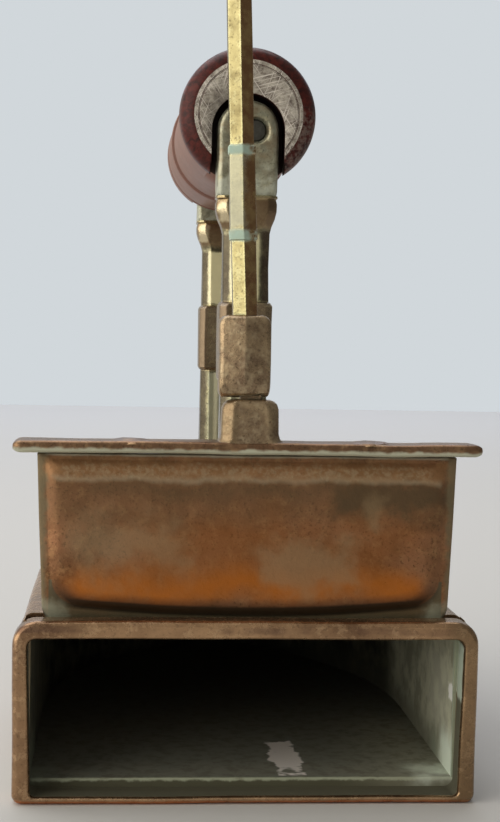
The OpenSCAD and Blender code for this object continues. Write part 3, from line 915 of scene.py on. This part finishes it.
# The square blocks and the collars under the heads have kept their brown.
post_brass.stain("#927c64", 0.8, 0.3, z=(97.5, 117.5), soft=0.3, ragged=0.8, grain_mm=5, most=0.6)
post_brass.stain("#8c6c4e", 0.9, 0.24, z=(135.5, 143.1), soft=0.8, ragged=2.4, grain_mm=4, most=0.6)
# A painted highlight on the collars' window side, and painted shade on their right side.
post_brass.stain("#e6d9b4", 0.7, 0.2, x=(-7, -4.2), z=(137, 142), soft=0.5, ragged=3, grain_mm=3, most=0.6)
post_brass.stain("#5a4636", 0.9, 0.3, x=(4.5, None), z=(136, 143), soft=1, ragged=2, grain_mm=4, most=0.5)
head_brass = brass_finish(
    "cast_brass_grey_green", "#d6cfac", "#b3b19a", "#7f7e6b", 0.34, metal=0.7, green=0.6, wear=0.9,
    patch_mm=5, pits=1.0
)
head_brass.stain("#c9cdbd", 0.2, 0.6, z=(None, 150), soft=1.5, ragged=6, grain_mm=3.5, most=0.6, patchy=True)
head_brass.stain("#8a7558", 0.8, 0.34, z=(150, None), soft=4, ragged=8, grain_mm=4, most=0.55, patchy=True)
POST_STATIONS = [  # height, half width, half thickness, corner cut
    (43.0, 12, 9, 2.4), (44.2, 12, 9, 2.4), (44.6, 11.6, 8.6, 2.3), (44.8, 9.5, 7.5, 2.2),
    (46, 8.0, 6.7, 2.2), (48, 6.7, 5.9, 2.3), (50.5, 5.75, 5.4, 2.4),
    (72, 5.75, 5.4, 2.4), (97.6, 5.75, 5.4, 2.4), (97.9, 6.2, 5.9, 1.7), (98.6, 6.55, 6.2, 1.5),
    (107, 6.5, 6.2, 1.5), (116.4, 6.55, 6.2, 1.5), (117.1, 6.2, 5.9, 1.8),
    (117.5, 5.75, 5.2, 2.4), (126, 5.7, 5.2, 2.4), (134.4, 5.75, 5.2, 2.4), (136.2, 6.2, 5.3, 2.4),
    (138, 7.0, 5.5, 2.3), (139.8, 7.5, 5.6, 2.2), (141.6, 7.6, 5.6, 2.2),
    (142.6, 7.35, 5.4, 2.2), (143.0, 7.7, 5.6, 1.8), (143.5, 7.6, 5.5, 1.6), (143.7, 7.0, 5.0, 1.4)]
rod_lo, rod_hi = (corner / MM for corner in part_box("handle_rod"))
rod_x, rod_z, rod_r = (rod_lo.x + rod_hi.x) / 2, (rod_lo.z + rod_hi.z) / 2, 2.7
ARCH_Z, ARCH_R, HEAD_T = 159.65, 7.55, 8.0


def head_outline(inset, y, steps=120):
    """The round-topped head's outline, as seen from the rod's hole."""
    points = []
    for i in range(steps):
        a = 2 * math.pi * i / steps
        c, s, r = math.cos(a), math.sin(a), ARCH_R - inset
        if s >= 0:
            along = rod_x * c + (rod_z - ARCH_Z) * s
            reach = -along + math.sqrt(along**2 - rod_x**2 - (rod_z - ARCH_Z) ** 2 + r**2)
        else:
            reach = min((math.copysign(r, c) - rod_x) / c if abs(c) > 1e-6 else 99, (143.2 - rod_z) / s)
        points.append((rod_x + reach * c, y, rod_z + reach * s))
    return points


def rod_hole(r, y, steps=120):
    return [
        (rod_x + r * math.cos(2 * math.pi * i / steps), y, rod_z + r * math.sin(2 * math.pi * i / steps))
        for i in range(steps)
    ]


HEAD_EDGE = ((1.5, 0), (0.95, 0.12), (0.5, 0.4), (0.18, 0.85), (0, 1.5))
for node in ("rear_post", "front_post"):
    lo, hi = (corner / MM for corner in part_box(node))
    y = (lo.y + hi.y) / 2
    shaft = skin(
        node + "_shaft",
        [
            [
                (px, y + py, z)
                for px, py in softened(
                    [
                        (a, c - b), (a, b - c), (a - c, b), (c - a, b), (-a, b - c), (-a, c - b), (c - a, -b),
                        (a - c, -b)
                    ],
                    0.45
                )
            ]
            for z, a, b, c in POST_STATIONS
        ],
        post_brass.paint, wave=0.22, wave_mm=8, sharp=28
    )
    near, far = y - HEAD_T / 2, y + HEAD_T / 2
    head = skin(
        node + "_head",
        [head_outline(i, near + d) for i, d in HEAD_EDGE] + [
            head_outline(i, far - d) for i, d in reversed(HEAD_EDGE)
        ] + [
            rod_hole(3.7, far), rod_hole(3.4, far - 0.3), rod_hole(2.8, far - 0.9), rod_hole(2.8, near + 0.9),
            rod_hole(3.4, near + 0.3), rod_hole(3.7, near)
        ],
        head_brass.paint, looped=True, wave=0.2, wave_mm=5, sharp=50
    )
    for piece in (shaft, head):
        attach(piece, "iron")
        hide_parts(node)

# --- Grip and rod --------------------------------------------------------------------------------------------------
# A turned mahogany grip, slotted over both heads and held by an iron rod. Its rounded ends and barrel are french
# polished to a dark red gloss, and its flat ends are rubbed grey and scratched.
grip_lo, grip_hi = (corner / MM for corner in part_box("handle_grip"))
GRIP_R = 17
grip_z, grip_l = grip_hi.z - GRIP_R, grip_hi.y - grip_lo.y


def ring_at(along, r, steps=160):
    return [
        (
            r * math.cos(2 * math.pi * i / steps), grip_lo.y + along,
            grip_z + r * math.sin(2 * math.pi * i / steps)
        )
        for i in range(steps)
    ]


mahogany = Finish("mahogany_french_polished")
tree, shader = mahogany.tree, mahogany.shader
stretched = add(tree, "VectorMath", {"operation": "MULTIPLY", 1: (1, 0.08, 1)}, {0: mahogany.place})
fibre = add(
    tree, "TexNoise", {"Scale": 1 / 1.3, "Detail": 5, "Roughness": 0.65, "Distortion": 0.6},
    {"Vector": stretched.outputs[0]}
)
pores = add(
    tree, "TexNoise", {"Scale": 1 / 0.35, "Detail": 2, "Roughness": 0.5}, {"Vector": stretched.outputs[0]}
)
fibre_tone = add(tree, "MapRange", {"From Min": 0.35, "From Max": 0.65}, {"Value": fibre.outputs["Fac"]})
red = add(
    tree, "Mix", {"data_type": "RGBA", 6: linear("#5a241d"), 7: linear("#2e1411")}, {0: fibre_tone.outputs[0]}
)
dirt = add(tree, "TexNoise", {"Scale": 1 / 6, "Detail": 4, "Roughness": 0.7}, {"Vector": mahogany.place})
dirt_tone = add(
    tree, "MapRange", {"From Min": 0.5, "From Max": 0.75, "To Max": 0.6}, {"Value": dirt.outputs["Fac"]}
)
stained = add(
    tree, "Mix", {"data_type": "RGBA", 7: linear("#241513")}, {0: dirt_tone.outputs[0], 6: red.outputs[2]}
)
tree.links.new(stained.outputs[2], shader.inputs["Base Color"])
gloss = add(
    tree, "MapRange", {"From Min": 0.3, "From Max": 0.7, "To Min": 0.3, "To Max": 0.48},
    {"Value": dirt.outputs["Fac"]}
)
tree.links.new(gloss.outputs[0], shader.inputs["Roughness"])
shader.inputs["Coat Weight"].default_value = 0.06
shader.inputs["Coat Roughness"].default_value = 0.2
shader.inputs["Specular IOR Level"].default_value = 0.16
# The barrel between the two glossy ends is matt, and painted a little pale as a painted reflection of the window.
mahogany.stain("#a07d70", rough=0.5, y=(grip_lo.y + 6, grip_hi.y - 4), soft=0.8, most=0.6)
# Knocks have scored the near end's rim on its right side.
mahogany.stain(
    "#8b7c72", rough=0.5, x=(6, None), y=(None, grip_lo.y + 5), z=(None, grip_z + 1), soft=2, ragged=5,
    grain_mm=1.1, most=0.5, patchy=True
)
# The slots' insides are left unpolished and painted near black as painted shade in the narrow gaps round the heads.
mahogany.stain(
    "#0d0807", rough=0.8, x=(-9.3, 9.3), y=(grip_lo.y + 0.7, grip_lo.y + 8.5),
    z=(None, ARCH_Z + ARCH_R + 1.8), soft=0.2, most=0.9
)
pore_bump = add(tree, "Bump", {"Strength": 0.35, "Distance": 0.08 * MM}, {"Height": pores.outputs["Fac"]})
tree.links.new(pore_bump.outputs[0], shader.inputs["Normal"])

worn_end = Finish("mahogany_worn_end_grain")
tree, shader = worn_end.tree, worn_end.shader
scratch = None
for turn_deg, width, share in ((20, 0.32, 0.60), (75, 0.25, 0.61), (-35, 0.3, 0.6), (52, 0.22, 0.62)):
    turned_place = add(
        tree, "Mapping",
        {"vector_type": "TEXTURE", "Rotation": (0, math.radians(turn_deg), 0), "Scale": (width, 1, 14)},
        {"Vector": worn_end.place}
    )
    lines = add(
        tree, "TexNoise", {"Scale": 1.0, "Detail": 2, "Roughness": 0.5}, {"Vector": turned_place.outputs[0]}
    )
    line = add(
        tree, "MapRange", {"From Min": share, "From Max": share + 0.05}, {"Value": lines.outputs["Fac"]}
    ).outputs[0]
    scratch = line if scratch is None else add(
        tree, "Math", {"operation": "MAXIMUM"}, {0: scratch, 1: line}
    ).outputs[0]
blotch = add(tree, "TexNoise", {"Scale": 1 / 2.2, "Detail": 5, "Roughness": 0.75}, {"Vector": worn_end.place})
blotch_tone = add(tree, "MapRange", {"From Min": 0.35, "From Max": 0.65}, {"Value": blotch.outputs["Fac"]})
grey = add(
    tree, "Mix", {"data_type": "RGBA", 6: linear("#c9c2b4"), 7: linear("#5a4d44")},
    {0: blotch_tone.outputs[0]}
)
scored = add(tree, "Mix", {"data_type": "RGBA", 7: linear("#dcd4ca")}, {0: scratch, 6: grey.outputs[2]})
tree.links.new(scored.outputs[2], shader.inputs["Base Color"])
shader.inputs["Roughness"].default_value = 0.5
score_bump = add(tree, "Bump", {"Strength": 0.4, "Distance": 0.1 * MM, "invert": True}, {"Height": scratch})
tree.links.new(score_bump.outputs[0], shader.inputs["Normal"])

quarter = [(math.radians(d)) for d in range(0, 91, 9)]
profile = [(0, 0.2), (0, 12.1), (0.2, 12.2), (0.2, 12.4), (0, 12.5), (0.04, 12.8)]
profile += [(4.2 - 4.15 * math.cos(a), 12.8 + 4.15 * math.sin(a)) for a in quarter[1:]]
profile += [
    (5.4, 17), (6.0, 16.3), (6.8, 16.1), (30, 16.2), (65.4, 16.2), (66.0, 15.5), (66.7, 15.4), (67.0, 16.8),
    (67.8, 17), (82, 16.9), (96.2, 16.9)
]
profile += [(97.0, 15.9), (98.4, 15.8), (98.8, 16.9), (99.4, 17), (104, 17)]
profile += [(grip_l - 4.2 + 4.15 * math.sin(a), 12.8 + 4.15 * math.cos(a)) for a in quarter[1:]]
profile += [(grip_l, 12.4), (grip_l, 0.2)]
grip = skin("turned_grip", [ring_at(along, r) for along, r in profile], mahogany.paint, sharp=40)
SLOT_HALF = ARCH_R + 1.5
for y0, y1 in ((grip_lo.y - 1, grip_lo.y + 8.3), (grip_hi.y - 8.3, grip_hi.y + 1)):
    outline = [
        (SLOT_HALF * math.cos(math.pi * i / 41), ARCH_Z + SLOT_HALF * math.sin(math.pi * i / 41))
        for i in range(42)
    ]
    outline += [(-SLOT_HALF, grip_z - 20), (SLOT_HALF, grip_z - 20)]
    cut(grip, skin("cutter", [at_y(outline, y) for y in (y0, y1)], mahogany.paint))
grip.data.materials.append(worn_end.paint)
for face in grip.data.polygons:
    middle = face.center / MM
    if abs(face.normal.y) > 0.99 and min(abs(middle.y - grip_lo.y), abs(middle.y - grip_hi.y)) < 0.3:
        face.material_index = len(grip.data.materials) - 1
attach(grip, "iron")
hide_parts("handle_grip")

iron = brass_finish(
    "wrought_iron_dark_oxide", "#6d6c66", "#4c4b46", "#35342f", 0.5, metal=0.7, green=0.0, wear=0.3,
    patch_mm=3, pits=0.8
)
rod_profile = [(0.9, 0.2), (0.9, 2.2), (1.1, 2.55), (1.5, rod_r)]
rod = skin(
    "handle_rod_riveted",
    [
        [
            (rod_x + r * math.cos(2 * math.pi * i / 32), y, rod_z + r * math.sin(2 * math.pi * i / 32))
            for i in range(32)
        ]
        for y, r in [(rod_lo.y + d, r) for d, r in rod_profile] + [
            (rod_hi.y - d, r) for d, r in reversed(rod_profile)
        ]
    ],
    iron.paint, sharp=50
)
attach(rod, "iron")
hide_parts("handle_rod")
bpy.data.objects["lever_pin"].data.materials.clear()
bpy.data.objects["lever_pin"].data.materials.append(cast_brass)
